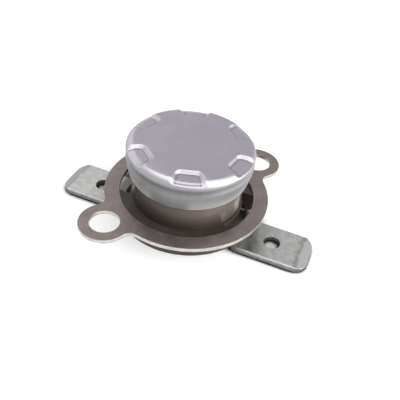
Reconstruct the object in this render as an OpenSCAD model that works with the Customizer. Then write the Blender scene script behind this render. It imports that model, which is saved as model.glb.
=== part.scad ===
// Bimetal thermostat with a loose two-ear mounting ring and two flat blade terminals.
// Millimetres, +Z up. z = 0 is the underside of the blades, the blades lie along X.

/* [Cap] */
// Outside diameter of the aluminium cap
cap_d = 15.9; // [15.4:0.1:16.4]
// Thickness of the cap's sheet
cap_t = 0.4; // [0.3:0.05:0.5]
// Height of the cap, from its crimped edge to the sensing face
cap_h = 4.35; // [4.25:0.05:4.8]
// Outside radius of the edge around the sensing face
cap_edge_r = 0.95; // [0.7:0.05:1.1]
// Height of the drawn-in skirt under the base's shoulder
crimp_h = 1.7; // [1.4:0.05:1.8]
// How far the skirt is drawn in under the shoulder
crimp_in = 0.43; // [0.3:0.01:0.55]
// Number of pressed notches around the sensing face
notch_count = 6; // [4:1:7]
// Depth of a pressed notch
notch_depth = 0.38; // [0.3:0.02:0.46]
// Width of a notch's floor at its inner end
notch_inner_w = 2.4; // [2:0.1:3]
// Width of a notch's floor at the rim
notch_rim_w = 3.4; // [3:0.1:4.2]
// Distance from the axis to the inner end of a notch's floor
notch_r = 6; // [5.8:0.05:6.4]
// Direction of the first notch, degrees from +X
notch_turn = -71; // [-90:1:-60]

/* [Base] */
// Length of neck seen between the flange and the cap
neck_h = 3.7; // [3.3:0.1:4.4]
// How far the flange reaches out under the ring, past its bore
flange_lap = 0.45; // [0.3:0.05:0.8]
// Height of the flange
flange_h = 2.7; // [2.4:0.1:3.2]
// Bevel on the flange's upper edge
flange_bevel = 0.25; // [0.1:0.05:0.4]
// Bevel on the flange's lower edge
flange_low_bevel = 0.5; // [0.3:0.05:0.7]
// Width of the window moulded through the flange over each terminal
pocket_w = 7; // [6.6:0.1:7.6]
// Distance from the neck to the inner wall of that window
pocket_in = 0.2; // [0.1:0.05:0.4]
// Distance from that wall to the sill left standing on the terminal
sill_out = 0.7; // [0.5:0.05:0.8]
// Thickness of the sill
sill_t = 0.4; // [0.3:0.05:0.5]
// Height of the sill
sill_h = 0.5; // [0.3:0.1:0.8]
// Thickness of the floor between the terminals and the switch chamber
floor_t = 2.2; // [1.8:0.1:2.6]
// Height of the moulded seat for the spring arm, over the chamber's floor
seat_h = 2.6; // [2.4:0.1:2.8]
// Width of the moulded seat
seat_w = 4; // [3.4:0.1:4.8]
// Width of the ribs that stop the terminals from turning
rib_w = 1.1; // [0.8:0.1:1.4]
// Length of those ribs
rib_len = 12; // [9:0.5:13]
// Width of the barrier between the two terminals' roots
barrier_w = 1.6; // [1.2:0.1:2]

/* [Mounting ring] */
// Width of the ring's band
ring_w = 1.9; // [1.6:0.05:2.2]
// Play of the ring's bore around the neck
ring_play = 1.6; // [1.3:0.05:1.8]
// Thickness of the ring's sheet
ring_t = 0.5; // [0.4:0.05:0.7]
// Distance between the two ear holes
ear_pitch = 24; // [23.6:0.1:24.6]
// Width of an ear
ear_d = 6.3; // [5.8:0.1:6.8]
// Diameter of an ear hole
ear_hole_d = 3.7; // [3.2:0.1:4]
// Radius of the inside corner where an ear leaves the ring
ear_fillet = 1.2; // [0.6:0.1:2]
// Direction of the ears, degrees from the blades
ear_turn = 57.5; // [40:0.5:90]

/* [Terminals] */
// Width of a blade
tab_w = 6.3; // [5.8:0.05:6.4]
// Thickness of a blade
tab_t = 0.8; // [0.6:0.05:0.9]
// Length over both blades' tips
tab_span = 34.8; // [33:0.2:37]
// Step down from the terminal's root to the blade
tab_drop = 0.9; // [0.8:0.05:1.2]
// Distance from the axis to the step
step_x = 7.6; // [7.5:0.05:7.9]
// Length of the sloping step
step_len = 0.3; // [0.2:0.05:0.5]
// Diameter of the latch hole in a blade
tab_hole_d = 2.2; // [1.8:0.1:2.4]
// Distance between the two latch holes
tab_hole_span = 24.6; // [24:0.2:26]
// Radius of the corners of a blade's tip
tab_corner_r = 1.8; // [1:0.1:2.2]
// Bevel along a blade's long edges
tab_bevel = 0.16; // [0.1:0.02:0.24]
// Length of the thinned tip
tab_nose = 1; // [0.6:0.1:1.3]
// Depth to which each face of the tip is thinned
tab_nose_h = 0.24; // [0.1:0.02:0.28]

/* [Rivets] */
// Distance between the two rivets
rivet_span = 7.2; // [7:0.05:7.4]
// Diameter of a rivet's shank
rivet_d = 1.5; // [1.2:0.1:1.7]
// Diameter of a rivet's outside head
rivet_head_d = 3.4; // [2.8:0.1:3.8]
// Height of a rivet's outside head
rivet_head_h = 0.7; // [0.4:0.05:0.75]
// Diameter of a rivet's closed head inside
rivet_set_d = 2.4; // [2.1:0.1:2.5]
// Height of a rivet's closed head inside
rivet_set_h = 0.5; // [0.3:0.05:0.6]

/* [Disc and pin] */
// Thickness of the bimetal disc
disc_t = 0.2; // [0.15:0.01:0.25]
// Rise of the disc's middle over its edge
disc_rise = 0.45; // [0.3:0.05:0.5]
// Wall of the guide around the disc
guide_wall = 0.88; // [0.78:0.02:1]
// Width of the guide's step that carries the disc's edge
disc_ledge = 0.75; // [0.5:0.05:0.9]
// Bevel on the guide's rim, under the cap's rounded edge
guide_bevel = 0.6; // [0.5:0.05:0.7]
// Play around the disc's edge
disc_play = 0.1; // [0.05:0.01:0.15]
// Thickness of the guide's plate under the disc
guide_t = 0.5; // [0.4:0.05:0.6]
// Diameter of the guide's bush around the pin
bush_d = 4; // [3.6:0.1:4.2]
// Length of the bush below the plate
bush_h = 1; // [0.7:0.1:1.1]
// Diameter of the push pin
pin_d = 2; // [1.8:0.1:2.2]
// Play around the push pin
pin_play = 0.05; // [0.03:0.01:0.08]
// Stroke of the push pin
pin_stroke = 0.3; // [0.2:0.02:0.34]

/* [Contacts] */
// Width of the spring arm
arm_w = 2.8; // [2.4:0.1:3]
// Thickness of the spring arm
arm_t = 0.2; // [0.15:0.01:0.25]
// Gap between the spring arm's end and the bracket
arm_gap = 0.65; // [0.55:0.05:0.75]
// Distance from the axis to the contacts
contact_x = 3; // [2.9:0.05:3.1]
// Diameter of a contact
contact_d = 2.2; // [1.8:0.1:2.4]
// Height of a contact
contact_h = 0.45; // [0.35:0.05:0.5]
// Diameter of the moving contact's stem through the spring arm
stem_d = 1; // [0.8:0.1:1.2]
// Length of that stem below the spring arm
stem_h = 0.3; // [0.2:0.05:0.35]
// Thickness of the fixed contact's bracket
bracket_t = 0.35; // [0.3:0.01:0.38]
// Gap between the bracket and the rivet head inside it
rivet_gap = 0.15; // [0.1:0.01:0.2]
// Gap between the bracket's corners and the chamber's wall
bracket_gap = 0.22; // [0.15:0.01:0.3]

/* [Hidden] */
$fn = 96;
// Clearance between pieces that seat on each other
fit = 0.02;
// Gap between the open contacts
contact_gap = 0.03;
// Run of a notch's wall for each unit of its depth
notch_slope = 1.1;
// Play beside a terminal, at the end of its root, and under the crimp
tab_play = 0.1;
root_play = 0.2;
crimp_play = 0.05;
// Room over and under the disc
disc_over = 0.15;
disc_under = 0.1;
// Margin of a strip's end past the rivet head on it, and of the moving contact's closed stem
strip_end = 0.2;
stem_lip = 0.25;
// Overlap that joins the solids of one piece, and reach of a cutter past the face it cuts
join = 0.1;
cut = 1;
z_seat = tab_drop + tab_t;
z_flange = z_seat + flange_h;
z_ring = z_flange + fit;
z_crimp = z_flange + neck_h;
z_top = z_crimp + cap_h;
z_floor = z_seat + floor_t;
z_arm = z_floor + seat_h;
z_bump = z_top - notch_depth - cap_t;
z_disc = z_top - cap_t - disc_rise - disc_t - disc_over;
z_plate = z_disc - disc_rise - disc_under;
z_guide = z_plate - guide_t;
z_pin = z_arm + arm_t + fit;
cap_r = cap_d / 2;
bore_r = cap_r - cap_t;
shoulder_r = bore_r - fit;
neck_r = shoulder_r - crimp_in;
lip_r = neck_r + fit;
nest_r = shoulder_r - guide_wall;
disc_r = nest_r - disc_play;
ring_bore_r = neck_r + ring_play;
ring_r = ring_bore_r + ring_w;
flange_r = ring_bore_r + flange_lap;
pocket_r = neck_r + pocket_in;
sill_r = pocket_r + sill_out;
tip_x = tab_span / 2;
step_out = tab_t * tan(atan2(tab_drop, step_len) / 2);
blade_x = step_x + step_len + step_out;
rivet_x = rivet_span / 2;
upright_x = rivet_x + rivet_set_d / 2 + rivet_gap;
bracket_x = upright_x + bracket_t;
arm_end = upright_x - arm_gap;
chamber_r = norm([bracket_x, arm_w / 2]) + bracket_gap;
root_x = barrier_w / 2 + root_play;
pin_end = z_disc - disc_rise + pin_stroke;
z_contact = z_arm + arm_t + contact_h;
z_fixed = z_contact + contact_gap;
z_bracket = z_fixed + contact_h;
phenolic = [0.22, 0.19, 0.18];
tin = [0.68, 0.68, 0.67];

// Trapezoid pressed into the cap at one place, its walls sloping; t thickens it to the sheet's inside
module notch(t) {
    zf = z_top - notch_depth - t;
    rise = notch_depth + t + cut;
    k = notch_slope * rise;
    out = cap_r + cut;
    grow = notch_slope * t;
    wi = notch_inner_w / 2 + grow;
    wo = notch_rim_w / 2 + grow;
    xi = notch_r - grow;
    polyhedron(
        points = [[xi, -wi, zf], [out, -wo, zf], [out, wo, zf], [xi, wi, zf],
                  [xi - k, -wi - k, zf + rise], [out, -wo - k, zf + rise],
                  [out, wo + k, zf + rise], [xi - k, wi + k, zf + rise]],
        faces = [[0, 1, 2, 3], [7, 6, 5, 4], [0, 4, 5], [0, 5, 1], [1, 5, 6, 2],
                 [2, 6, 7], [2, 7, 3], [3, 7, 4, 0]]);
}

module notches(t) {
    for (i = [0 : notch_count - 1]) rotate([0, 0, notch_turn + i * 360 / notch_count]) notch(t);
}

// Solid of turning with a rounded upper edge and a drawn-in lower end
module cup(r, lip, top, low, edge) {
    rotate_extrude() union() {
        polygon([[0, low], [lip, low], [r, z_crimp + crimp_h], [r, top - edge], [r - edge, top - edge],
                 [r - edge, top], [0, top]]);
        intersection() {
            translate([r - edge, top - edge]) circle(edge);
            translate([r - edge, top - edge]) square(edge);
        }
    }
}

// Drawn aluminium cap, its skirt crimped under the base's shoulder
module cap() {
    color([0.78, 0.78, 0.79]) difference() {
        cup(cap_r, lip_r + cap_t, z_top, z_crimp, cap_edge_r);
        notches(0);
        difference() {
            union() {
                cup(bore_r, lip_r, z_top - cap_t, z_crimp, max(join, cap_edge_r - cap_t));
                translate([0, 0, z_crimp - cut]) cylinder(r = lip_r, h = cut + join);
            }
            notches(cap_t);
        }
    }
}

// Moulded phenolic base: flange, neck, shoulder under the cap, switch chamber, terminal ribs
module base() {
    color(phenolic) difference() {
        union() {
            rotate_extrude() polygon([
                [0, z_seat], [flange_r - flange_low_bevel, z_seat],
                [flange_r, z_seat + flange_low_bevel],
                [flange_r, z_flange - flange_bevel], [flange_r - flange_bevel, z_flange],
                [neck_r, z_flange], [neck_r, z_crimp + fit],
                [shoulder_r, z_crimp + crimp_h + crimp_play], [shoulder_r, z_guide], [0, z_guide]]);
            for (s = [-1, 1])
                translate([-rib_len / 2, s * (tab_w / 2 + tab_play + rib_w / 2) - rib_w / 2, tab_drop])
                    cube([rib_len, rib_w, tab_t + join]);
            translate([-barrier_w / 2, -tab_w / 2 - tab_play - join, tab_drop])
                cube([barrier_w, tab_w + 2 * (tab_play + join), tab_t + join]);
        }
        difference() {
            translate([0, 0, z_floor]) cylinder(r = chamber_r, h = z_guide - z_floor + cut);
            translate([-chamber_r - cut, -seat_w / 2, z_floor - cut])
                cube([chamber_r + cut - rivet_x + rivet_set_d / 2, seat_w, seat_h + cut]);
        }
        for (s = [-1, 1]) {
            translate([s * rivet_x, 0, tab_drop]) cylinder(d = rivet_d + 2 * fit, h = z_guide);
            difference() {
                translate([s * flange_r, 0, z_seat + flange_h / 2])
                    cube([flange_r, pocket_w, flange_h + 2 * cut], center = true);
                translate([0, 0, z_seat - 2 * cut]) cylinder(r = pocket_r, h = flange_h + 4 * cut);
                translate([0, 0, z_seat - 2 * cut]) difference() {
                    cylinder(r = sill_r + sill_t, h = sill_h + 2 * cut);
                    translate([0, 0, -cut]) cylinder(r = sill_r, h = sill_h + 4 * cut);
                }
            }
        }
    }
}

// Loose sheet ring, stamped with two eared fixing holes
module mounting_ring() {
    a = ring_r + ear_fillet;
    b = ear_d / 2 + ear_fillet;
    c = ear_pitch / 2;
    fx = (a * a - b * b + c * c) / (2 * c);
    fy = sqrt(a * a - fx * fx);
    color([0.5, 0.46, 0.45]) rotate([0, 0, ear_turn]) translate([0, 0, z_ring]) linear_extrude(ring_t)
        difference() {
            union() {
                circle(ring_r);
                for (s = [0, 180]) rotate(s) {
                    translate([c, 0]) circle(ear_d / 2);
                    difference() {
                        polygon([[0, 0], [fx, -fy], [c, 0], [fx, fy]]);
                        for (m = [-1, 1]) translate([fx, m * fy]) circle(ear_fillet - fit);
                    }
                }
            }
            circle(ring_bore_r);
            for (s = [-1, 1]) translate([s * c, 0]) circle(ear_hole_d / 2);
        }
}

// Snap-acting disc, domed towards the sensing face while cold
module bimetal_disc() {
    ball = (disc_r * disc_r + disc_rise * disc_rise) / (2 * disc_rise);
    color([0.6, 0.55, 0.48]) intersection() {
        translate([0, 0, z_disc]) cylinder(r = disc_r, h = disc_rise + disc_t + join);
        difference() {
            translate([0, 0, z_disc + disc_rise + disc_t - ball]) sphere(ball, $fn = 240);
            translate([0, 0, z_disc + disc_rise - ball]) sphere(ball, $fn = 240);
        }
    }
}

// Moulded plate that carries the disc's edge and guides the pin
module pin_guide() {
    color([0.3, 0.26, 0.22]) rotate_extrude() polygon([
        [pin_d / 2 + pin_play, z_guide - bush_h], [bush_d / 2, z_guide - bush_h], [bush_d / 2, z_guide],
        [shoulder_r, z_guide], [shoulder_r, z_bump - guide_bevel], [shoulder_r - guide_bevel, z_bump],
        [nest_r, z_bump], [nest_r, z_disc], [nest_r - disc_ledge, z_disc],
        [nest_r - disc_ledge, z_plate], [pin_d / 2 + pin_play, z_plate]]);
}

// Ceramic pin between the disc and the spring arm
module push_pin() {
    color([0.92, 0.9, 0.86]) translate([0, 0, z_pin]) cylinder(d = pin_d, h = pin_end - z_pin);
}

// Flat leaf held under the left rivet, with the moving contact near its end
module spring_arm() {
    color([0.72, 0.5, 0.32]) translate([0, 0, z_arm]) linear_extrude(arm_t) difference() {
        translate([-rivet_x - rivet_set_d / 2 - strip_end, -arm_w / 2])
            square([rivet_x + rivet_set_d / 2 + strip_end + arm_end, arm_w]);
        translate([-rivet_x, 0]) circle(rivet_d / 2 + fit);
        translate([contact_x, 0]) circle(stem_d / 2 + fit);
    }
}

// Silver contact riveted through the spring arm
module moving_contact() {
    color([0.86, 0.86, 0.84]) translate([contact_x, 0, 0]) union() {
        translate([0, 0, z_arm + arm_t]) cylinder(d = contact_d, h = contact_h);
        translate([0, 0, z_arm - stem_h]) cylinder(d = stem_d, h = stem_h + arm_t + join);
        translate([0, 0, z_arm - stem_h]) cylinder(d = stem_d + 2 * stem_lip, h = stem_h);
    }
}

// Folded bracket that holds the fixed contact over the spring arm's end
module contact_bracket() {
    foot = rivet_x - rivet_set_d / 2 - strip_end;
    over = contact_x - contact_d / 2;
    color([0.75, 0.6, 0.34]) difference() {
        translate([0, arm_w / 2, 0]) rotate([90, 0, 0]) linear_extrude(arm_w) polygon([
            [foot, z_floor], [bracket_x, z_floor], [bracket_x, z_bracket + bracket_t],
            [over, z_bracket + bracket_t], [over, z_bracket], [upright_x, z_bracket],
            [upright_x, z_floor + bracket_t],
            [foot, z_floor + bracket_t]]);
        translate([rivet_x, 0, z_floor - cut]) cylinder(d = rivet_d + 2 * fit, h = bracket_t + 2 * cut);
    }
}

// Silver contact under the bracket
module fixed_contact() {
    color([0.86, 0.86, 0.84]) translate([contact_x, 0, z_fixed]) cylinder(d = contact_d, h = contact_h);
}

// One tinned blade terminal pointing along +X: root under the base, step, blade with a thinned round tip
module terminal() {
    half = tab_w / 2;
    color(tin) difference() {
        intersection() {
            translate([0, half, 0]) rotate([90, 0, 0]) linear_extrude(tab_w) polygon([
                [root_x, tab_drop], [step_x, tab_drop], [step_x + step_len, 0], [tip_x - tab_nose, 0],
                [tip_x, tab_nose_h], [tip_x, tab_t - tab_nose_h], [tip_x - tab_nose, tab_t],
                [blade_x, tab_t], [step_x + step_out, z_seat], [root_x, z_seat]]);
            union() {
                translate([0, -half, 0]) cube([blade_x, tab_w, z_seat]);
                translate([blade_x, 0, 0]) rotate([90, 0, 90]) linear_extrude(tip_x - blade_x) polygon([
                    [tab_bevel - half, 0], [half - tab_bevel, 0], [half, tab_bevel],
                    [half, tab_t - tab_bevel], [half - tab_bevel, tab_t], [tab_bevel - half, tab_t],
                    [-half, tab_t - tab_bevel], [-half, tab_bevel]]);
            }
            linear_extrude(z_seat) union() {
                translate([0, -half]) square([tip_x - tab_corner_r, tab_w]);
                translate([0, tab_corner_r - half]) square([tip_x, tab_w - 2 * tab_corner_r]);
                for (m = [-1, 1])
                    translate([tip_x - tab_corner_r, m * (half - tab_corner_r)]) circle(tab_corner_r);
            }
        }
        translate([tab_hole_span / 2, 0, -tab_t]) cylinder(d = tab_hole_d, h = 3 * tab_t);
        translate([rivet_x, 0, 0]) cylinder(d = rivet_d + 2 * fit, h = 2 * z_seat);
    }
}

module terminal_left() { rotate([0, 0, 180]) terminal(); }
module terminal_right() { terminal(); }

// Rivet from the terminal's underside to a closed head on the piece inside
module rivet(top) {
    color([0.74, 0.72, 0.68]) union() {
        translate([0, 0, tab_drop - rivet_head_h]) cylinder(d = rivet_head_d, h = rivet_head_h);
        translate([0, 0, tab_drop - join]) cylinder(d = rivet_d, h = top - tab_drop + 2 * join);
        translate([0, 0, top]) cylinder(d = rivet_set_d, h = rivet_set_h);
    }
}

module rivet_left() { translate([-rivet_x, 0, 0]) rivet(z_arm + arm_t); }
module rivet_right() { translate([rivet_x, 0, 0]) rivet(z_floor + bracket_t); }

base();
mounting_ring();
cap();
bimetal_disc();
pin_guide();
push_pin();
spring_arm();
moving_contact();
contact_bracket();
fixed_contact();
terminal_left();
terminal_right();
rivet_left();
rivet_right();
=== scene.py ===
"""Bimetal thermostat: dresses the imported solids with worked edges, finishes, light and a camera."""
import math

import bmesh
import bpy
from bpy.props import FloatProperty, IntProperty, PointerProperty, StringProperty
from mathutils import Matrix, Vector


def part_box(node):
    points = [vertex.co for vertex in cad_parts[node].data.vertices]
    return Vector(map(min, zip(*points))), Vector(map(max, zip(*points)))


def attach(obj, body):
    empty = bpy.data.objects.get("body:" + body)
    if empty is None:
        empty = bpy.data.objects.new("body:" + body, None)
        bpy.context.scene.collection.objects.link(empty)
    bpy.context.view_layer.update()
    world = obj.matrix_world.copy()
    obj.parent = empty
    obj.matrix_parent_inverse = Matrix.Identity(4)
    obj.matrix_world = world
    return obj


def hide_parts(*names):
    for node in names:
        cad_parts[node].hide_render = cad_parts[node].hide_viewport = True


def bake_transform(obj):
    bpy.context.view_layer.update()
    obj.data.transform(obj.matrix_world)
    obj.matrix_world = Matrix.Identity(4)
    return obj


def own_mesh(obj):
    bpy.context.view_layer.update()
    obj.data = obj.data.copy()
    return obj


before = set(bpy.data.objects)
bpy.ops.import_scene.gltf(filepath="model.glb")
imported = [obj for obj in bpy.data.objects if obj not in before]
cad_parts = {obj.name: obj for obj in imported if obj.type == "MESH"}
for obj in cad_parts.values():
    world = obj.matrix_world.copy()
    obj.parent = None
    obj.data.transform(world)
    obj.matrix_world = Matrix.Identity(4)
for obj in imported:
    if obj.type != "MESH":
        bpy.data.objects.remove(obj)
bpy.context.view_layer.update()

bl_info = {
    "name": "Bimetal thermostat",
    "version": (1, 0, 0),
    "blender": (4, 5, 0),
    "location": "View3D > Sidebar > Thermostat",
    "description": "Builds the pieces of a snap-disc thermostat on its packed solids",
    "category": "Object",
}

MM = 0.001
CAP_LOW, CAP_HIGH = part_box("cap")
RING_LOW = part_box("mounting_ring")[0]
ARM_LOW, ARM_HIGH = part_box("spring_arm")
BLADE_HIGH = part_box("terminal_right")[1]

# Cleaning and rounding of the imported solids.
WELD = 0.0005 * MM
FLAT_ANGLE = math.radians(0.4)
SHARP_ANGLE = math.radians(32)
SMOOTH_ANGLE = math.radians(34)

# The cap: points around it, the skirt's height over the crimp's, and how the skirt curves in.
SPIN_STEPS = 640
SKIRT_SHARE = 1.35
SKIRT_CURVE = 1.4
# The notches: corner radius of the floor, and the degrees around the rim over which the press fades out.
NOTCH_CORNER = 0.35 * MM
HOLD_FROM = 8
HOLD_OVER = 55
# Their painted shade: how far inside the floor's outline it lies, its half width, and where it stops on the
# rim.
NOTCH_SHADE_INSIDE = 0.02 * MM
NOTCH_SHADE_WIDTH = 0.17 * MM
NOTCH_SHADE_LEAN = 30
# The ragged lower edge: the height it takes up and how far its points rise.
RAGGED_HEIGHT = 0.3 * MM
RAGGED_RISE = 0.035 * MM

# Faces of the stamped pieces are told apart by how level they lie.
RING_CUT_LEVEL = 0.8
BLADE_CUT_LEVEL = 0.4
RUBBED_HIGHLIGHT_CUT_LEVEL = 0.8
RUBBED_HIGHLIGHT_LEVEL = 0.995
RUBBED_HIGHLIGHT_WIDTH = 0.5 * MM
ARM_CUTS = 24

# The floor: its side and drop, and the middle and half axes, in millimetres, of its painted shadow.
FLOOR_SIDE = 3
FLOOR_DROP = 0.02 * MM
SHADOW_MIDDLE = (-1.6, 2.6)
SHADOW_REACH = (12.2, 6.6)
LAMP_AIM = Vector((0, 0, 6 * MM))

# Settings that nodes share.
SMOOTH = {"interpolation_type": "SMOOTHSTEP"}
COLOUR = {"data_type": "RGBA"}
NUMBER = {"data_type": "FLOAT"}
TIMES = {"operation": "MULTIPLY"}
LARGER = {"operation": "MAXIMUM"}
LENGTH = {"operation": "LENGTH"}
BLACK = (0, 0, 0, 1)
WHITE = (1, 1, 1, 1)


def linear(code):
    """An sRGB hex colour as linear red, green, blue and alpha."""
    parts = [int(code[i:i + 2], 16) / 255 for i in (1, 3, 5)]
    return [p / 12.92 if p <= 0.04045 else ((p + 0.055) / 1.055) ** 2.4 for p in parts] + [1.0]


def add(tree, kind, settings=None, **sockets):
    """Adds one node: settings are its attributes, sockets its inputs, each a value or an output to link.

    An input goes by its name, or by its number, as i0, where names repeat. A Map Range turns i1 to i2 into
    i3 to i4. A Mix goes by i0 from i2 to i3 if it mixes numbers, from i6 to i7 if it mixes colours.
    """
    made = tree.nodes.new(kind)
    for key, value in (settings or {}).items():
        setattr(made, key, value)
    for key, value in sockets.items():
        numbered = key[0] == "i" and key[1:].isdigit()
        target = made.inputs[int(key[1:]) if numbered else key.replace("_", " ")]
        if isinstance(value, bpy.types.NodeSocket):
            tree.links.new(value, target)
        else:
            target.default_value = value
    return made


def blank_material(name):
    """A material with an empty Principled shader, its tree, shader and Object coordinates."""
    made = bpy.data.materials.new(name)
    made.use_nodes = True
    tree = made.node_tree
    shader = tree.nodes["Principled BSDF"]
    place = add(tree, "ShaderNodeTexCoord").outputs["Object"]
    return made, tree, shader, place


def per_mm(size):
    """Noise scale, per metre, for features of that size in millimetres."""
    return 1 / (size * MM)


def sheet_metal(name, dark, light, rough, grain, cloud, bump):
    """Rolled or drawn metal: clouds of slightly different tone, fine grain in gloss and in relief.

    Grain and cloud are sizes in millimetres. The grain is drawn coarser than real, so that it shows at all.
    """
    made, tree, shader, place = blank_material(name)
    clouds = add(tree, "ShaderNodeTexNoise", Vector=place, Scale=per_mm(cloud), Detail=3.0, Roughness=0.55)
    fine = add(tree, "ShaderNodeTexNoise", Vector=place, Scale=per_mm(grain), Detail=2.0, Roughness=0.5)
    tone = add(tree, "ShaderNodeMapRange", Value=clouds.outputs["Fac"], i1=0.3, i2=0.7, i3=0.0, i4=1.0)
    colour = add(tree, "ShaderNodeMix", COLOUR, i0=tone.outputs[0], i6=linear(dark), i7=linear(light))
    tree.links.new(colour.outputs[2], shader.inputs["Base Color"])
    gloss = add(tree, "ShaderNodeMapRange", Value=fine.outputs["Fac"],
                i1=0.25, i2=0.75, i3=rough[0], i4=rough[1])
    tree.links.new(gloss.outputs[0], shader.inputs["Roughness"])
    relief = add(tree, "ShaderNodeBump", Height=fine.outputs["Fac"], Strength=bump, Distance=0.02 * MM)
    tree.links.new(relief.outputs["Normal"], shader.inputs["Normal"])
    shader.inputs["Metallic"].default_value = 1.0
    return made


def drawn_aluminium(colours):
    """Drawn aluminium sheet: satin on top, burnished where it bends and painted lighter there as a highlight,
    scratched dull on the wall by the die.

    The skirt is painted pale as painted light, but for a stretch in front left darker as painted shade.
    Painted shade lies at the foot of the notches, and a painted dark reflection lies under the rim in front.
    The grain of 1.1 mm is far coarser than real.
    """
    made = sheet_metal("aluminium_drawn_satin", colours.cap_dark, colours.cap_light,
                       rough=(0.25, 0.3), grain=1.1, cloud=6.0, bump=0.06)
    tree = made.node_tree
    shader = tree.nodes["Principled BSDF"]
    satin = shader.inputs["Base Color"].links[0].from_socket
    gloss = shader.inputs["Roughness"].links[0].from_socket
    top, low, edge = CAP_HIGH[2], CAP_LOW[2], CAP_HIGH[0]
    place = add(tree, "ShaderNodeTexCoord").outputs["Object"]
    height = add(tree, "ShaderNodeSeparateXYZ", Vector=place).outputs["Z"]
    facing = add(tree, "ShaderNodeNewGeometry").outputs["Normal"]
    level = add(tree, "ShaderNodeSeparateXYZ", Vector=facing).outputs["Z"]
    axle = add(tree, "ShaderNodeVectorMath", TIMES, i0=place, i1=(1, 1, 0)).outputs[0]
    out = add(tree, "ShaderNodeVectorMath", LENGTH, i0=axle).outputs["Value"]
    outward = add(tree, "ShaderNodeVectorMath", {"operation": "NORMALIZE"}, i0=axle).outputs[0]
    front = add(tree, "ShaderNodeVectorMath", {"operation": "DOT_PRODUCT"}, i0=outward,
                i1=(0.07, -1, 0)).outputs["Value"]
    # Top: burnished and painted lighter as a highlight on the rim's bend, painted shade along the notches'
    # feet.
    steep = add(tree, "ShaderNodeMapRange", SMOOTH, Value=level,
                i1=0.7, i2=0.98, i3=1.0, i4=0.0).outputs[0]
    rim = add(tree, "ShaderNodeMapRange", Value=out,
              i1=edge - 1.1 * MM, i2=edge - 0.7 * MM, i3=0.0, i4=1.0).outputs[0]
    bent = add(tree, "ShaderNodeMath", TIMES, i0=steep, i1=rim).outputs[0]
    # Painted shade: a dark line along the feet of the notches stands in for the shade in their creases.
    foot = add(tree, "ShaderNodeAttribute", {"attribute_name": "notch_painted_shade"}).outputs["Fac"]
    notch_shade = add(tree, "ShaderNodeMath", TIMES, i0=foot, i1=0.45).outputs[0]
    # Painted highlight: the bend's lighter tone is partly burnish and partly a painted highlight.
    bright = add(tree, "ShaderNodeMix", COLOUR, i0=bent, i6=satin, i7=linear(colours.cap_bright)).outputs[2]
    line_and_shade = add(tree, "ShaderNodeMix", COLOUR, i0=notch_shade, i6=bright, i7=linear(colours.cap_painted_shade)).outputs[2]
    # Wall: dragged upright by the die; the skirt is painted paler as painted light, less so in front, where a
    # stretch stays darker as painted shade.
    wall = add(tree, "ShaderNodeMapRange", SMOOTH, Value=height,
               i1=top - 1.2 * MM, i2=top - 0.6 * MM, i3=1.0, i4=0.0).outputs[0]
    long = add(tree, "ShaderNodeMapping", Vector=place, Scale=(1, 1, 0.12)).outputs[0]
    drag = add(tree, "ShaderNodeTexNoise", Vector=long, Scale=per_mm(0.7), Detail=3.0, Roughness=0.6)
    toned = add(tree, "ShaderNodeMix", COLOUR, i0=drag.outputs["Fac"],
                  i6=linear(colours.wall_dark), i7=linear(colours.wall_light)).outputs[2]
    front_shade = add(tree, "ShaderNodeMapRange", SMOOTH, Value=front,
                 i1=0.93, i2=0.99, i3=0.85, i4=0.15).outputs[0]
    skirt = add(tree, "ShaderNodeMapRange", SMOOTH, Value=height,
                i1=low + 0.2 * MM, i2=low + 2.2 * MM, i3=front_shade, i4=0.0).outputs[0]
    skirt_lit = add(tree, "ShaderNodeMix", COLOUR, i0=skirt,
                 i6=toned, i7=linear(colours.wall_skirt_lit)).outputs[2]
    # Painted reflection: a dark band under the rim, in front only, stands in for a dark reflection there.
    upper = add(tree, "ShaderNodeMapRange", SMOOTH, Value=height,
                i1=top - 1.45 * MM, i2=top - 1.0 * MM, i3=1.0, i4=0.0).outputs[0]
    lower = add(tree, "ShaderNodeMapRange", SMOOTH, Value=height,
                i1=top - 2.3 * MM, i2=top - 1.5 * MM, i3=0.0, i4=0.6).outputs[0]
    ahead = add(tree, "ShaderNodeMapRange", SMOOTH, Value=front, i1=0.6, i2=0.95, i3=0.0, i4=1.0).outputs[0]
    banded = add(tree, "ShaderNodeMath", TIMES, i0=upper, i1=lower).outputs[0]
    dark_band = add(tree, "ShaderNodeMath", TIMES, i0=banded, i1=ahead).outputs[0]
    with_dark_band = add(tree, "ShaderNodeMix", COLOUR, i0=dark_band,
                  i6=skirt_lit, i7=linear(colours.cap_painted_shade)).outputs[2]
    lit_and_shaded = add(tree, "ShaderNodeMix", COLOUR, i0=wall, i6=line_and_shade, i7=with_dark_band).outputs[2]
    tree.links.new(lit_and_shaded, shader.inputs["Base Color"])
    dull = add(tree, "ShaderNodeMix", NUMBER, i0=wall, i2=gloss, i3=0.42).outputs[0]
    soft = add(tree, "ShaderNodeMix", NUMBER, i0=steep, i2=dull, i3=0.46).outputs[0]
    matt = add(tree, "ShaderNodeMix", NUMBER, i0=skirt, i2=soft, i3=0.6).outputs[0]
    tree.links.new(matt, shader.inputs["Roughness"])
    return made


def sheared_steel_highlight():
    """Edge of the strip where the press sheared it: bare, bright and finely dragged along the cut, its light
    tone partly a painted highlight.
    """
    return sheet_metal("steel_sheared_edge_highlight", "#b4b1ad", "#cecbc7",
                       rough=(0.3, 0.44), grain=0.2, cloud=0.7, bump=0.3)


def rolled_steel(colours):
    """Rolled steel strip: satin, brownish grey from its thin oxide, with small darker clouds."""
    return sheet_metal("steel_rolled_satin", colours.ring_dark, colours.ring_light,
                       rough=(0.36, 0.5), grain=0.3, cloud=1.6, bump=0.35)


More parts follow.
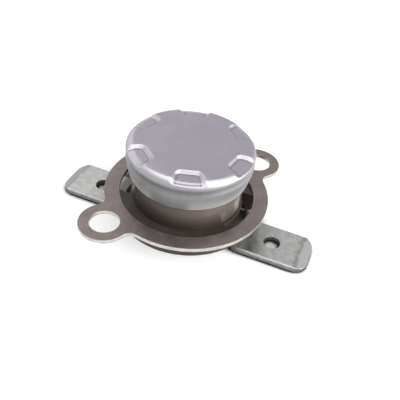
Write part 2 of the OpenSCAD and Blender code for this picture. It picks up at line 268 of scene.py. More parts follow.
def painted_root_shade(made, colours):
    """Paints shade on a blade's metal at its root, further out on the left, where the slot in the flange shows
    it.
    """
    tree = made.node_tree
    tone = tree.nodes["Principled BSDF"].inputs["Base Color"]
    clean = tone.links[0].from_socket
    place = add(tree, "ShaderNodeTexCoord").outputs["Object"]
    along = add(tree, "ShaderNodeSeparateXYZ", Vector=place).outputs["X"]
    shifted = add(tree, "ShaderNodeMath", {"operation": "ADD"}, i0=along, i1=0.95 * MM).outputs[0]
    reach = add(tree, "ShaderNodeMath", {"operation": "ABSOLUTE"}, i0=shifted).outputs[0]
    root_shade = add(tree, "ShaderNodeMapRange", SMOOTH, Value=reach,
                  i1=8.9 * MM, i2=9.9 * MM, i3=0.9, i4=0.0).outputs[0]
    root_shaded = add(tree, "ShaderNodeMix", COLOUR, i0=root_shade,
                 i6=clean, i7=linear(colours.blade_root_shade)).outputs[2]
    tree.links.new(root_shaded, tone)
    return made


def tinned_brass(colours):
    """Tin plate on stamped brass: pale and mottled, with a coined nose painted lighter as a highlight and a
    dull line of plating behind it.

    On the left blade the nose is painted darker as shade, the line is faint, and near the base the plate has
    painted shade.
    """
    made = sheet_metal("brass_tin_plated", colours.blade_dark, colours.blade_light,
                       rough=(0.28, 0.44), grain=0.5, cloud=0.9, bump=0.3)
    tree = made.node_tree
    shader = tree.nodes["Principled BSDF"]
    plate = shader.inputs["Base Color"].links[0].from_socket
    place = add(tree, "ShaderNodeTexCoord").outputs["Object"]
    along = add(tree, "ShaderNodeSeparateXYZ", Vector=place).outputs["X"]
    reach = add(tree, "ShaderNodeMath", {"operation": "ABSOLUTE"}, i0=along).outputs[0]
    right = add(tree, "ShaderNodeMath", {"operation": "GREATER_THAN"}, i0=along, i1=0.0).outputs[0]
    # The borders of nose and line ripple by up to 0.9 mm.
    ripple = add(tree, "ShaderNodeTexNoise", Vector=place, Scale=per_mm(1.3), Detail=2.0).outputs["Fac"]
    edge = add(tree, "ShaderNodeMath", {"operation": "MULTIPLY_ADD"},
               i0=ripple, i1=0.9 * MM, i2=reach).outputs[0]
    tip = BLADE_HIGH[0] + 0.45 * MM
    nose = add(tree, "ShaderNodeMapRange", SMOOTH, Value=edge,
               i1=tip - 1.25 * MM, i2=tip - 1.0 * MM, i3=0.0, i4=1.0).outputs[0]
    behind = add(tree, "ShaderNodeMapRange", SMOOTH, Value=edge,
                 i1=tip - 1.85 * MM, i2=tip - 1.4 * MM, i3=0.0, i4=1.0).outputs[0]
    pooled = add(tree, "ShaderNodeMath", {"operation": "SUBTRACT"}, i0=behind, i1=nose).outputs[0]
    broken = add(tree, "ShaderNodeTexNoise", Vector=place, Scale=per_mm(2.2), Detail=3.0).outputs["Fac"]
    patchy = add(tree, "ShaderNodeMapRange", Value=broken, i1=0.35, i2=0.65, i3=0.35, i4=1.0).outputs[0]
    share = add(tree, "ShaderNodeMapRange", Value=right, i1=0.0, i2=1.0, i3=0.15, i4=1.0).outputs[0]
    broad = add(tree, "ShaderNodeMath", TIMES, i0=pooled, i1=patchy).outputs[0]
    dull = add(tree, "ShaderNodeMath", TIMES, i0=broad, i1=share).outputs[0]
    # Painted shade: the plate darkens towards the base, where the ring shades it.
    root = add(tree, "ShaderNodeMapRange", SMOOTH, Value=edge,
               i1=10.5 * MM, i2=14.5 * MM, i3=0.4, i4=0.0).outputs[0]
    line_and_shade = add(tree, "ShaderNodeMath", LARGER, i0=dull, i1=root).outputs[0]
    lined = add(tree, "ShaderNodeMix", COLOUR, i0=line_and_shade, i6=plate, i7=linear(colours.blade_line_and_shade)).outputs[2]
    # Painted highlight and shade: the right nose is painted light and the left nose dark, by where light falls
    # on them.
    lit_and_shaded = add(tree, "ShaderNodeMix", COLOUR, i0=right,
               i6=linear(colours.blade_nose_shade), i7=linear(colours.blade_nose_highlight)).outputs[2]
    coined = add(tree, "ShaderNodeMix", COLOUR, i0=nose, i6=lined, i7=lit_and_shaded).outputs[2]
    tree.links.new(coined, shader.inputs["Base Color"])
    return painted_root_shade(made, colours)


def sheared_brass_shade(colours):
    """Cut edge of the plated strip: greyer and duller than its faces, dragged by the punch, and painted darker
    as shade on these sideways faces.
    """
    made = sheet_metal("brass_sheared_edge_shade", "#737373", "#909090",
                       rough=(0.36, 0.5), grain=0.25, cloud=0.6, bump=0.4)
    return painted_root_shade(made, colours)


def burnished_tin_highlight(colours):
    """Tin plate burnished smooth along a blade's long edges by its mate, and painted lighter as a highlight: a
    thin bright line.
    """
    made = sheet_metal("brass_tin_burnished_highlight", "#bebebc", "#d0d0ce",
                       rough=(0.16, 0.26), grain=0.5, cloud=0.9, bump=0.1)
    return painted_root_shade(made, colours)


def plated_rivet():
    """Nickel on brass, upset cold, so the heads are smooth and a little brighter than the sheet."""
    return sheet_metal("brass_nickel_plated", "#8f8b84", "#a9a59d",
                       rough=(0.25, 0.36), grain=0.3, cloud=1.2, bump=0.2)


def bimetal_strip():
    """Rolled bimetal strip: one warm side, dull from the heat that set its dome."""
    return sheet_metal("bimetal_rolled", "#8d8070", "#a59887",
                       rough=(0.34, 0.5), grain=0.3, cloud=2.0, bump=0.3)


def spring_bronze():
    """Rolled phosphor bronze: coppery and bright."""
    return sheet_metal("bronze_rolled", "#a5734a", "#bb8759",
                       rough=(0.25, 0.36), grain=0.3, cloud=1.5, bump=0.2)


def brass_sheet():
    """Folded brass sheet: yellow, lightly tarnished."""
    return sheet_metal("brass_folded", "#a98a4b", "#c2a465",
                       rough=(0.28, 0.4), grain=0.3, cloud=1.5, bump=0.2)


def contact_silver():
    """Headed silver: pale and soft, with fine wear from closing."""
    return sheet_metal("silver_headed", "#c9c8c2", "#dcdbd6",
                       rough=(0.22, 0.36), grain=0.2, cloud=0.8, bump=0.3)


def moulded_phenolic(colours):
    """Compression-moulded phenolic: near-black brown, finely specked and glossy.

    The neck is painted paler upward from the ring's foot, as painted light over painted shade low down, and
    the flange under the ring is dull.
    """
    made, tree, shader, place = blank_material("phenolic_moulded_gloss")
    flow = add(tree, "ShaderNodeTexNoise", Vector=place, Scale=per_mm(2.4),
               Detail=4.0, Roughness=0.6, Distortion=0.8).outputs["Fac"]
    specks = add(tree, "ShaderNodeTexNoise", Vector=place, Scale=per_mm(0.16), Detail=2.0, Roughness=0.5)
    spots = add(tree, "ShaderNodeMapRange", Value=specks.outputs["Fac"], i1=0.55, i2=0.75, i3=0.0, i4=0.15)
    body = add(tree, "ShaderNodeMix", COLOUR, i0=flow,
               i6=linear(colours.base_dark), i7=linear(colours.base_light))
    speckled = add(tree, "ShaderNodeMix", COLOUR, i0=spots.outputs[0],
                   i6=body.outputs[2], i7=linear(colours.base_speck))
    height = add(tree, "ShaderNodeSeparateXYZ", Vector=place).outputs["Z"]
    foot = RING_LOW[2] + 0.3 * MM
    # Painted light and shade: the neck is lighter upward from the ring's foot and darker towards it.
    lightened = add(tree, "ShaderNodeMapRange", SMOOTH, Value=height,
                 i1=foot, i2=foot + 2.2 * MM, i3=0.0, i4=0.85)
    toned = add(tree, "ShaderNodeMix", COLOUR, i0=lightened.outputs[0],
                  i6=speckled.outputs[2], i7=linear(colours.base_painted_light))
    tree.links.new(toned.outputs[2], shader.inputs["Base Color"])
    skin = add(tree, "ShaderNodeMapRange", Value=height, i1=foot, i2=foot + 1.2 * MM, i3=0.18, i4=0.5)
    tree.links.new(skin.outputs[0], shader.inputs["Specular IOR Level"])
    gloss = add(tree, "ShaderNodeMapRange", Value=flow, i1=0.3, i2=0.7, i3=0.16, i4=0.26)
    tree.links.new(gloss.outputs[0], shader.inputs["Roughness"])
    relief = add(tree, "ShaderNodeBump", Height=flow, Strength=0.1, Distance=0.02 * MM)
    tree.links.new(relief.outputs["Normal"], shader.inputs["Normal"])
    shader.inputs["IOR"].default_value = 1.65
    return made


def fired_ceramic():
    """Fired, unglazed ceramic: off-white and dry, with a fine grain."""
    made, tree, shader, place = blank_material("ceramic_fired_unglazed")
    grain = add(tree, "ShaderNodeTexNoise", Vector=place, Scale=per_mm(0.2), Detail=4.0).outputs["Fac"]
    colour = add(tree, "ShaderNodeMix", COLOUR, i0=grain, i6=linear("#d9d3c6"), i7=linear("#efeae0"))
    tree.links.new(colour.outputs[2], shader.inputs["Base Color"])
    relief = add(tree, "ShaderNodeBump", Height=grain, Strength=0.2, Distance=0.02 * MM)
    tree.links.new(relief.outputs["Normal"], shader.inputs["Normal"])
    shader.inputs["Roughness"].default_value = 0.62
    return made


def deselect():
    """Leaves edit mode and deselects everything."""
    if bpy.context.object and bpy.context.object.mode != "OBJECT":
        bpy.ops.object.mode_set(mode="OBJECT")
    bpy.ops.object.select_all(action="DESELECT")


def take(piece):
    """Makes one piece the only selected and active object."""
    deselect()
    piece.select_set(True)
    bpy.context.view_layer.objects.active = piece


def finish(piece, body, slot, material, *nodes):
    """Gives a piece its material and what it moves with; the slot, what it stands for, is not used."""
    piece.data.materials.clear()
    piece.data.materials.append(material)
    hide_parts(*nodes)
    if body:
        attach(piece, body)


def worked_copy(node, name, edge, segments):
    """A node's own shape, merged and freed of loose triangles, its edges rounded by edge millimetres."""
    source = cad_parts[node]
    piece = bpy.data.objects.new(name, source.data.copy())
    bpy.context.scene.collection.objects.link(piece)
    take(piece)
    bpy.ops.object.mode_set(mode="EDIT")
    bpy.ops.mesh.select_all(action="SELECT")
    bpy.ops.mesh.remove_doubles(threshold=WELD)
    bpy.ops.mesh.dissolve_limited(angle_limit=FLAT_ANGLE, delimit=set())
    bpy.ops.object.mode_set(mode="OBJECT")
    round_edges(piece, edge, segments)
    return piece


def round_edges(piece, edge, segments):
    """Rounds a piece's sharp outward edges with a bevel, as tools leave them, and smooths its shading."""
    shape = bmesh.new()
    shape.from_mesh(piece.data)
    weight = shape.edges.layers.float.new("bevel_weight_edge")
    for line in shape.edges:
        if len(line.link_faces) == 2 and line.is_convex and line.calc_face_angle() > SHARP_ANGLE:
            line[weight] = 1.0
    shape.to_mesh(piece.data)
    shape.free()
    take(piece)
    bevel = piece.modifiers.new("edge_round", "BEVEL")
    bevel.width = edge * MM
    bevel.segments = segments
    bevel.limit_method = "WEIGHT"
    bevel.use_clamp_overlap = True
    bevel.harden_normals = False
    bpy.ops.object.modifier_apply(modifier=bevel.name)
    bpy.ops.object.shade_smooth_by_angle(angle=SMOOTH_ANGLE)
    weighted = piece.modifiers.new("flat_faces", "WEIGHTED_NORMAL")
    weighted.keep_sharp = True
    bpy.ops.object.modifier_apply(modifier=weighted.name)


def turned_shell(name, profile, steps):
    """A shell of turning: the profile is drawn point by point by extrusion, then spun about Z."""
    deselect()
    bpy.ops.mesh.primitive_plane_add(size=1 * MM)
    piece = bpy.context.object
    piece.name = name
    bpy.ops.object.mode_set(mode="EDIT")
    bpy.ops.mesh.select_all(action="SELECT")
    bpy.ops.mesh.merge(type="CENTER")
    here = Vector((0, 0, 0))
    for index, (r, z) in enumerate(profile):
        step = Vector((r, 0, z)) - here
        if index == 0:
            bpy.ops.transform.translate(value=step)
        else:
            bpy.ops.mesh.extrude_vertices_move(TRANSFORM_OT_translate={"value": step})
        here = Vector((r, 0, z))
    bpy.ops.mesh.select_all(action="SELECT")
    bpy.ops.mesh.spin(steps=steps, angle=2 * math.pi, center=(0, 0, 0), axis=(0, 0, 1))
    bpy.ops.mesh.select_all(action="SELECT")
    bpy.ops.mesh.remove_doubles(threshold=0.001 * MM)
    bpy.ops.mesh.normals_make_consistent(inside=False)
    bpy.ops.object.mode_set(mode="OBJECT")
    return piece


def spaced(start, end, count):
    """Evenly spaced values from start up to, but without, end."""
    return [start + (end - start) * i / count for i in range(count)]


def arc(cx, cz, r, start, end, count):
    """Points on a quarter or other arc of the profile, in degrees."""
    angles = [math.radians(start + (end - start) * i / count) for i in range(count + 1)]
    return [(cx + r * math.cos(a), cz + r * math.sin(a)) for a in angles]


class ThermostatSizes(bpy.types.PropertyGroup):
    """Sizes of the cap's drawing, pressing and crimping."""

    sheet: FloatProperty(name="Cap sheet", description="Thickness of the cap's sheet",
                         default=0.4 * MM, unit="LENGTH", precision=5)
    cap_edge: FloatProperty(name="Cap edge", description="Outside radius of the cap's upper edge",
                            default=0.95 * MM, unit="LENGTH", precision=5)
    crimp: FloatProperty(name="Crimp", description="Height of the drawn-in skirt",
                         default=1.7 * MM, unit="LENGTH", precision=5)
    lip: FloatProperty(name="Lip", description="Inside radius of the skirt's lower edge",
                       default=7.12 * MM, unit="LENGTH", precision=5)
    notch_depth: FloatProperty(name="Notch depth", description="Depth of a pressed notch",
                               default=0.36 * MM, unit="LENGTH", precision=5)
    notch_inner: FloatProperty(name="Notch inner width",
                               description="Width of a notch's floor at its inner end",
                               default=2.5 * MM, unit="LENGTH", precision=5)
    notch_rim: FloatProperty(name="Notch rim width", description="Width of a notch's floor at the rim",
                             default=3.1 * MM, unit="LENGTH", precision=5)
    notch_start: FloatProperty(name="Notch start", description="Distance from the axis to a notch's floor",
                               default=6.0 * MM, unit="LENGTH", precision=5)
    notch_slope: FloatProperty(name="Notch slope", description="Width of a notch's sloping inner wall",
                               default=0.48 * MM, unit="LENGTH", precision=5)
    notch_flare: FloatProperty(name="Notch flare", description="Width of a notch's sloping sides at the rim",
                               default=0.85 * MM, unit="LENGTH", precision=5)
    waist: FloatProperty(name="Waist", description="Depth of the shallow waist below the rim",
                         default=0.06 * MM, unit="LENGTH", precision=5)
    crimp_wave: FloatProperty(name="Crimp wave", description="How unevenly the lower edge is drawn up",
                              default=0.28 * MM, unit="LENGTH", precision=5)
    bead: FloatProperty(name="Bead", description="How far the rolled lower edge stands out",
                        default=0.06 * MM, unit="LENGTH", precision=5)
    notch_turn: FloatProperty(name="Notch turn", description="Direction of the first notch",
                              default=math.radians(-71), subtype="ANGLE")
    notch_count: IntProperty(name="Notches", description="Number of pressed notches", default=6)


class ThermostatColours(bpy.types.PropertyGroup):
    """Colours of the finishes that the photo shows, as sRGB hex values."""

    cap_dark: StringProperty(name="Cap, dark", description="Darker tone of the aluminium", default="#9896a0")
    cap_light: StringProperty(name="Cap, light", description="Lighter tone of the aluminium",
                              default="#a49da4")
    # Partly a painted highlight: the bends' lighter tone stands in for the rim's highlight as well as burnish.
    cap_bright: StringProperty(name="Cap, bends", description="Tone of the burnished bends",
                               default="#a3a3a7")
    # Painted shade: the tone of the painted shade at the notches and of the painted dark reflection under the
    # rim.
    cap_painted_shade: StringProperty(name="Cap, grime", description="Grime at the notches and under the rim",
                              default="#55545a")
    wall_dark: StringProperty(name="Wall, dark", description="Darker tone of the scuffed wall",
                              default="#858686")
    wall_light: StringProperty(name="Wall, light", description="Lighter tone of the scuffed wall",
                               default="#999a9a")
    # Painted light: the skirt's pale tone stands in for the light it catches.
    wall_skirt_lit: StringProperty(name="Wall, skirt",
                               description="Tone of the skirt, rubbed pale by the crimping roll",
                               default="#c0c0be")
    base_dark: StringProperty(name="Base, dark", description="Darker tone of the phenolic",
                              default="#2f2926")
    base_light: StringProperty(name="Base, light", description="Lighter tone of the phenolic",
                               default="#3d3632")
    base_speck: StringProperty(name="Base, specks", description="Specks in the phenolic", default="#48403c")
    # Painted light: the neck's paler tone stands in for the light on it.
    base_painted_light: StringProperty(name="Base, rubbed", description="Tone of the neck where the ring rubs it",
                               default="#5d544f")
    ring_dark: StringProperty(name="Ring, dark", description="Darker tone of the ring's steel",
                              default="#726a68")
    ring_light: StringProperty(name="Ring, light", description="Lighter tone of the ring's steel",
                               default="#7f7775")
    blade_dark: StringProperty(name="Blade, dark", description="Darker tone of the tin plate",
                               default="#989896")
    blade_light: StringProperty(name="Blade, light", description="Lighter tone of the tin plate",
                                default="#afafad")
    # This tone also serves as painted shade on the plate near the base.
    blade_line_and_shade: StringProperty(name="Blade, line", description="Dull line behind a blade's nose",
                               default="#757573")
    # Painted highlight and shade: the right nose's light tone and the left nose's dark tone.
    blade_nose_highlight: StringProperty(name="Blade, nose", description="Bright coined nose of a blade",
                               default="#aaaaa8")
    blade_nose_shade: StringProperty(name="Blade, left nose", description="Duller nose of the left blade",
                              default="#858583")
    # Painted shade: the root's dark tone stands in for the shade beside the base.
    blade_root_shade: StringProperty(name="Blade, root", description="Soiled root of a blade beside the base",
                               default="#5a5857")


class ThermostatStage(bpy.types.PropertyGroup):
    """Light and camera."""

    key: FloatProperty(name="Key", description="Power of the front lamp", default=1.0, unit="POWER")
    side: FloatProperty(name="Side", description="Power of the side lamp", default=0.92, unit="POWER")
    left: FloatProperty(name="Left", description="Power of the left lamp", default=0.14, unit="POWER")
    sky: FloatProperty(name="Sky", description="Strength of the even light from all round", default=0.15)
    lens: FloatProperty(name="Lens", description="Focal length", default=47.37, unit="CAMERA")
    roll: FloatProperty(name="Roll", description="Turn of the camera about its own axis",
                        default=math.radians(7.315), subtype="ANGLE")


def cap_profile(sizes):
    """The cap's section: from the middle of the top over the outside to the lower edge, and back inside."""
    top, low, r = CAP_HIGH[2], CAP_LOW[2], CAP_HIGH[0]
    sheet, edge, lip = sizes.sheet, sizes.cap_edge, sizes.lip
    brim, shoulder = r - edge, top - edge
    bank = sizes.notch_start - 1.4 * sizes.notch_slope
    floor = sizes.notch_start + 0.25 * MM
    flat = spaced(0, bank, 6) + spaced(bank, floor, 16) + spaced(floor, brim, 6)
    skirt = SKIRT_SHARE * sizes.crimp
    wall = shoulder - low - skirt
    drawn_in = r - lip - sheet
    profile = [(x, top) for x in flat]
    profile += arc(brim, shoulder, edge, 90, 0, 16)
    for s in spaced(0, 1, 12)[1:]:
        profile.append((r - sizes.waist * math.sin(math.pi * s) ** 2, shoulder - wall * s))
    for s in [i / 24 for i in range(1, 25)]:
        profile.append((r - drawn_in * s ** SKIRT_CURVE, low + skirt * (1 - s) + 0.05 * MM * s))
    profile += [(lip + sheet - 0.07 * MM, low), (lip + 0.08 * MM, low), (lip, low + 0.06 * MM)]
    profile += [(r - sheet, low + sizes.crimp), (r - sheet, shoulder)]
    profile += arc(brim, shoulder, edge - sheet, 0, 90, 4)
    profile += [(x, top - sheet) for x in reversed(flat[::2])]
    return profile


def pressed(x, y, sizes, rim):
    """How fully a point of the cap lies in a notch, from 0 to 1, and how near it is to its outline."""
    most, outline = 0.0, 0.0
    for i in range(sizes.notch_count):
        turn = sizes.notch_turn + i * 2 * math.pi / sizes.notch_count
        u = x * math.cos(turn) + y * math.sin(turn)
        v = abs(-x * math.sin(turn) + y * math.cos(turn))
        if u < sizes.notch_start - 2 * sizes.notch_slope:
            continue
        share = min(max((u - sizes.notch_start) / (rim - sizes.notch_start), 0), 1)
        half = (sizes.notch_inner + (sizes.notch_rim - sizes.notch_inner) * share) / 2
        du, dv = sizes.notch_start - u + NOTCH_CORNER, v - half + NOTCH_CORNER
        away = math.hypot(max(du, 0), max(dv, 0)) + min(max(du, dv), 0) - NOTCH_CORNER
        slope = sizes.notch_slope + (sizes.notch_flare - sizes.notch_slope) * share
        s = min(max(1 - away / slope, 0), 1)
        most = max(most, s * s * (3 - 2 * s))
        outline = max(outline, 1 - abs(away + NOTCH_SHADE_INSIDE) / NOTCH_SHADE_WIDTH)
    return most, outline


def work_cap(cap, sizes):
    """Presses the notches into the spun cap, marks where their painted shade lies and rolls the lower edge in
    unevenly.
    """
    low, r = CAP_LOW[2], CAP_HIGH[0]
    brim, shoulder = r - sizes.cap_edge, CAP_HIGH[2] - sizes.cap_edge
    skirt = SKIRT_SHARE * sizes.crimp
    notch_painted_shade = cap.data.attributes.new("notch_painted_shade", "FLOAT", "POINT")
    for v in cap.data.vertices:
        x, y, z = v.co
        a, out = math.atan2(y, x), math.hypot(x, y)
        lean = math.degrees(math.atan2(z - shoulder, max(out - brim, 1e-9)))
        hold = min(max((lean - HOLD_FROM) / HOLD_OVER, 0), 1)
        press, outline = pressed(x, y, sizes, r)
        notch_painted_shade.data[v.index].value = outline if lean > NOTCH_SHADE_LEAN else 0.0
        v.co.z = z - sizes.notch_depth * press * hold * hold * (3 - 2 * hold)
        below = max(1 - (z - low) / skirt, 0)
        last = max(1 - (z - low) / RAGGED_HEIGHT, 0)
        ragged = math.sin(3 * a) * math.sin(17 * a + 2)
        wave = math.sin(a - sizes.notch_turn) ** 2
        v.co.z += sizes.crimp_wave * wave * below ** 2 + RAGGED_RISE * (1 + ragged) * last
        if out > sizes.lip + 0.7 * sizes.sheet:
            v.co.xy *= 1 + sizes.bead * (0.6 + 0.4 * ragged) * last / r


class ThermostatCap(bpy.types.Operator):
    """Spins the drawn cap, presses its notches and crimps its skirt."""

    bl_idname = "thermostat.cap"
    bl_label = "Cap"

    def execute(self, context):
        sizes = context.scene.thermostat_sizes
        cap = turned_shell("cap_shell", cap_profile(sizes), SPIN_STEPS)
        work_cap(cap, sizes)
        take(cap)
        bpy.ops.object.shade_smooth()
        finish(cap, "housing", "cap_aluminium", drawn_aluminium(context.scene.thermostat_colours), "cap")
        return {"FINISHED"}


class ThermostatBase(bpy.types.Operator):
    """Rounds the moulded base's edges."""

    bl_idname = "thermostat.base"
    bl_label = "Base"

    def execute(self, context):
        base = worked_copy("base", "base_moulding", edge=0.1, segments=3)
        finish(base, "housing", "phenolic", moulded_phenolic(context.scene.thermostat_colours), "base")
        return {"FINISHED"}


class ThermostatRing(bpy.types.Operator):
    """Rounds the stamped ring's edges and tells its sheared edge from its rolled faces."""

    bl_idname = "thermostat.ring"
    bl_label = "Mounting ring"

    def execute(self, context):
        ring = worked_copy("mounting_ring", "ring_stamping", edge=0.11, segments=3)
        finish(ring, "ring", "ring_steel", rolled_steel(context.scene.thermostat_colours), "mounting_ring")
        ring.data.materials.append(sheared_steel_highlight())
        for face in ring.data.polygons:
            face.material_index = 1 if abs(face.normal.z) < RING_CUT_LEVEL else 0
        return {"FINISHED"}


class ThermostatBlades(bpy.types.Operator):
    """Rounds the edges of the two tinned terminals and tells cut edges and burnished edges, painted lighter as
    a highlight, from their faces.
    """

    bl_idname = "thermostat.blades"
    bl_label = "Terminals"

    def execute(self, context):
        colours = context.scene.thermostat_colours
        plate, cut, lightened = tinned_brass(colours), sheared_brass_shade(colours), burnished_tin_highlight(colours)
        for node in ("terminal_left", "terminal_right"):
            blade = worked_copy(node, node + "_blade", edge=0.15, segments=4)
            finish(blade, "housing", "tinned_brass", plate, node)
            blade.data.materials.append(cut)
            blade.data.materials.append(lightened)
            for face in blade.data.polygons:
                level = abs(face.normal.z)
                rim = abs(face.center.y) > BLADE_HIGH[1] - RUBBED_HIGHLIGHT_WIDTH
                if level < BLADE_CUT_LEVEL or rim and level < RUBBED_HIGHLIGHT_CUT_LEVEL:
                    face.material_index = 1
                elif rim and level < RUBBED_HIGHLIGHT_LEVEL:
                    face.material_index = 2
        return {"FINISHED"}


class ThermostatRivets(bpy.types.Operator):
    """Rounds the heads of the two rivets."""

    bl_idname = "thermostat.rivets"
    bl_label = "Rivets"

    def execute(self, context):
        nickel = plated_rivet()
        for node in ("rivet_left", "rivet_right"):
            rivet = worked_copy(node, node + "_upset", edge=0.14, segments=3)
            finish(rivet, "housing", "rivet_brass", nickel, node)
        return {"FINISHED"}


class ThermostatSwitch(bpy.types.Operator):
    """Dresses the disc, guide, pin, contacts and bracket inside, and cuts the spring arm into slices along its
    length.
    """

    bl_idname = "thermostat.switch"
    bl_label = "Disc, pin and contacts"

    def execute(self, context):
        silver = contact_silver()
        phenolic = bpy.data.materials["phenolic_moulded_gloss"]
        for node, name, edge, segments, body, slot, material in (
            ("pin_guide", "guide_moulding", 0.08, 2, "housing", "guide_phenolic", phenolic),
            ("push_pin", "pin_rod", 0.9, 7, "pin", "pin_ceramic", fired_ceramic()),
            ("moving_contact", "contact_moving", 0.1, 3, "arm", "contact_silver", silver),
            ("fixed_contact", "contact_fixed", 0.1, 3, "housing", "contact_silver", silver),
            ("contact_bracket", "bracket_fold", 0.08, 3, "housing", "bracket_brass", brass_sheet()),
        ):
            finish(worked_copy(node, name, edge, segments), body, slot, material, node)
        disc = worked_copy("bimetal_disc", "disc_snap", edge=0.03, segments=2)
        finish(disc, "housing", "bimetal", bimetal_strip(), "bimetal_disc")
        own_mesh(disc)
        arm = worked_copy("spring_arm", "arm_leaf", edge=0.03, segments=2)
        take(arm)
        bpy.ops.object.mode_set(mode="EDIT")
        for i in range(1, ARM_CUTS):
            bpy.ops.mesh.select_all(action="SELECT")
            x = ARM_LOW[0] + (ARM_HIGH[0] - ARM_LOW[0]) * i / ARM_CUTS
            bpy.ops.mesh.bisect(plane_co=(x, 0, 0), plane_no=(1, 0, 0))
        bpy.ops.object.mode_set(mode="OBJECT")
        finish(arm, "", "spring_bronze", spring_bronze(), "spring_arm")
        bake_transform(arm)
        return {"FINISHED"}


def shown(tree):
    """Is 1 for a ray that the camera sees, direct, mirrored or let through, and 0 for one that only lights."""
    path = add(tree, "ShaderNodeLightPath")
    direct = add(tree, "ShaderNodeMath", LARGER,
                 i0=path.outputs["Is Camera Ray"], i1=path.outputs["Is Glossy Ray"]).outputs[0]
    return add(tree, "ShaderNodeMath", LARGER, i0=direct, i1=path.outputs["Is Transmission Ray"]).outputs[0]


def white_paper():
    """White paper that shows white to the camera and keeps a soft shadow.

    A painted shadow darkens it where it touches a piece and under the body, so that it doesn't shine up
    through the slots.
    From 80 mm out it fades to plain white. Its fibres are drawn coarser than real.
    """
    made, tree, shader, place = blank_material("paper_white_backdrop")
    seen = shown(tree)
    fibre = add(tree, "ShaderNodeTexNoise", Vector=place, Scale=per_mm(0.8), Detail=2.0).outputs["Fac"]
    sheet = add(tree, "ShaderNodeMix", COLOUR, i0=fibre,
                i6=linear("#f4f4f4"), i7=linear("#fafafa")).outputs[2]
    shaded = add(tree, "ShaderNodeMix", COLOUR, i0=seen, i6=sheet, i7=linear("#b4b4b4")).outputs[2]
    distance = add(tree, "ShaderNodeVectorMath", LENGTH, i0=place).outputs["Value"]
    away = add(tree, "ShaderNodeMapRange", SMOOTH, Value=distance,
               i1=0.08, i2=0.3, i3=0.0, i4=1.0).outputs[0]
    faded = add(tree, "ShaderNodeMath", TIMES, i0=seen, i1=away).outputs[0]
    paled = add(tree, "ShaderNodeMix", COLOUR, i0=faded, i6=shaded, i7=BLACK).outputs[2]
    # Painted shadow: an ellipse under the body, shifted back, darkens the paper.
    under = add(tree, "ShaderNodeMapping", Vector=place,
                Location=[-m / r for m, r in zip(SHADOW_MIDDLE, SHADOW_REACH)] + [0],
                Scale=[per_mm(r) for r in SHADOW_REACH] + [0]).outputs[0]
    extent = add(tree, "ShaderNodeVectorMath", LENGTH, i0=under).outputs["Value"]
    body_shadow = add(tree, "ShaderNodeMapRange", SMOOTH, Value=extent,
                  i1=0.8, i2=1.1, i3=0.08, i4=1.0).outputs[0]
    # Painted shade: ambient occlusion darkens the paper where it touches a piece.
    near = add(tree, "ShaderNodeAmbientOcclusion", {"samples": 8}, Distance=1.5 * MM).outputs["AO"]
    open_sky = add(tree, "ShaderNodeMapRange", SMOOTH, Value=near,
                   i1=0.45, i2=0.85, i3=0.0, i4=1.0).outputs[0]
    bare = add(tree, "ShaderNodeMath", TIMES, i0=open_sky, i1=body_shadow).outputs[0]
    hidden = add(tree, "ShaderNodeMix", COLOUR, i0=bare, i6=BLACK, i7=paled).outputs[2]
    tree.links.new(hidden, shader.inputs["Base Color"])
    level = add(tree, "ShaderNodeMapRange", Value=away, i1=0.0, i2=1.0, i3=0.62, i4=1.0).outputs[0]
    white = add(tree, "ShaderNodeMath", TIMES, i0=open_sky, i1=level).outputs[0]
    lit = add(tree, "ShaderNodeMath", TIMES, i0=seen, i1=body_shadow).outputs[0]
    glow = add(tree, "ShaderNodeMath", TIMES, i0=lit, i1=white).outputs[0]
    tree.links.new(glow, shader.inputs["Emission Strength"])
    shader.inputs["Emission Color"].default_value = WHITE
    shader.inputs["Roughness"].default_value = 0.9
    shader.inputs["Specular IOR Level"].default_value = 0.0
    return made


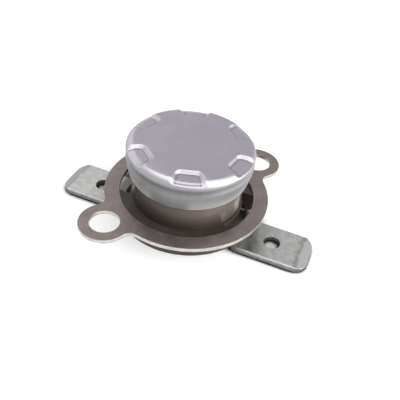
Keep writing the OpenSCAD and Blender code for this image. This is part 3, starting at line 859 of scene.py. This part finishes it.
class ThermostatSet(bpy.types.Operator):
    """Floor, light and camera."""

    bl_idname = "thermostat.stage"
    bl_label = "Stage"

    def execute(self, context):
        stage = context.scene.thermostat_stage
        context.scene.view_settings.view_transform = "Standard"
        self.floor()
        self.sky(context.scene, stage)
        self.lamp("key_softbox", (0.03, -0.1, 0.28), (0.5, 0.3), stage.key)
        self.lamp("side_softbox", (0.23, -0.03, 0.085), (0.2, 0.13), stage.side)
        self.lamp("left_softbox", (-0.2, 0.06, 0.13), (0.3, 0.2), stage.left)
        self.camera(context.scene, stage)
        return {"FINISHED"}

    def floor(self):
        """A wide white floor just under the object."""
        deselect()
        bpy.ops.mesh.primitive_plane_add(size=FLOOR_SIDE, location=(0, 0, -FLOOR_DROP))
        floor = bpy.context.object
        floor.name = "floor"
        floor.data.materials.append(white_paper())

    def sky(self, scene, stage):
        """White to the camera and in reflections, softer as a light."""
        world = bpy.data.worlds.new("white_room")
        world.use_nodes = True
        scene.world = world
        tree = world.node_tree
        tree.nodes.clear()
        level = add(tree, "ShaderNodeMix", NUMBER, i0=shown(tree), i2=stage.sky, i3=1.0).outputs[0]
        glow = add(tree, "ShaderNodeBackground", Color=WHITE, Strength=level)
        add(tree, "ShaderNodeOutputWorld", Surface=glow.outputs[0])

    def lamp(self, name, place, size, power):
        """A rectangular soft lamp turned to the object."""
        deselect()
        bpy.ops.object.light_add(type="AREA", location=place)
        lamp = bpy.context.object
        lamp.name = name
        lamp.data.shape = "RECTANGLE"
        lamp.data.size, lamp.data.size_y = size
        lamp.data.energy = power
        lamp.rotation_euler = (LAMP_AIM - Vector(place)).to_track_quat("-Z", "Y").to_euler()

    def camera(self, scene, stage):
        """The photograph's view, fitted to the ring, its holes, the cap and the blades."""
        deselect()
        eye, aim = Vector((16.89, -49.53, 48.97)) * MM, Vector((1.98, -0.21, 4.04)) * MM
        bpy.ops.object.camera_add(location=eye)
        camera = bpy.context.object
        camera.name = "camera"
        back = (eye - aim).normalized()
        right = Vector((0, 0, 1)).cross(back).normalized()
        up = back.cross(right)
        tilted = right * math.cos(stage.roll) + up * math.sin(stage.roll)
        upright = up * math.cos(stage.roll) - right * math.sin(stage.roll)
        axes = Matrix((tilted, upright, back)).transposed()
        camera.matrix_world = Matrix.Translation(eye) @ axes.to_4x4()
        camera.data.sensor_fit = "HORIZONTAL"
        camera.data.sensor_width = 36
        camera.data.lens = stage.lens
        camera.data.clip_start = 0.001
        scene.camera = camera


class ThermostatPanel(bpy.types.Panel):
    """Lists the build operators and their settings."""

    bl_idname = "VIEW3D_PT_thermostat"
    bl_label = "Thermostat"
    bl_space_type = "VIEW_3D"
    bl_region_type = "UI"
    bl_category = "Thermostat"

    def draw(self, context):
        for made in BUILDERS:
            self.layout.operator(made.bl_idname)
        for key in GROUPS:
            group = getattr(context.scene, key)
            box = self.layout.box()
            for setting in group.__annotations__:
                box.prop(group, setting)


BUILDERS = (
    ThermostatCap,
    ThermostatBase,
    ThermostatRing,
    ThermostatBlades,
    ThermostatRivets,
    ThermostatSwitch,
    ThermostatSet,
)
GROUPS = {
    "thermostat_sizes": ThermostatSizes,
    "thermostat_colours": ThermostatColours,
    "thermostat_stage": ThermostatStage,
}


def register():
    """Registers the settings, the build operators and the panel."""
    for made in (*GROUPS.values(), *BUILDERS, ThermostatPanel):
        bpy.utils.register_class(made)
    for key, group in GROUPS.items():
        setattr(bpy.types.Scene, key, PointerProperty(type=group))


def unregister():
    """Takes back what register did."""
    for key in GROUPS:
        delattr(bpy.types.Scene, key)
    for made in (ThermostatPanel, *BUILDERS, *GROUPS.values()):
        bpy.utils.unregister_class(made)


def main():
    """Builds every piece and the stage."""
    register()
    bpy.ops.thermostat.cap()
    bpy.ops.thermostat.base()
    bpy.ops.thermostat.ring()
    bpy.ops.thermostat.blades()
    bpy.ops.thermostat.rivets()
    bpy.ops.thermostat.switch()
    bpy.ops.thermostat.stage()


if __name__ == "__main__":
    main()
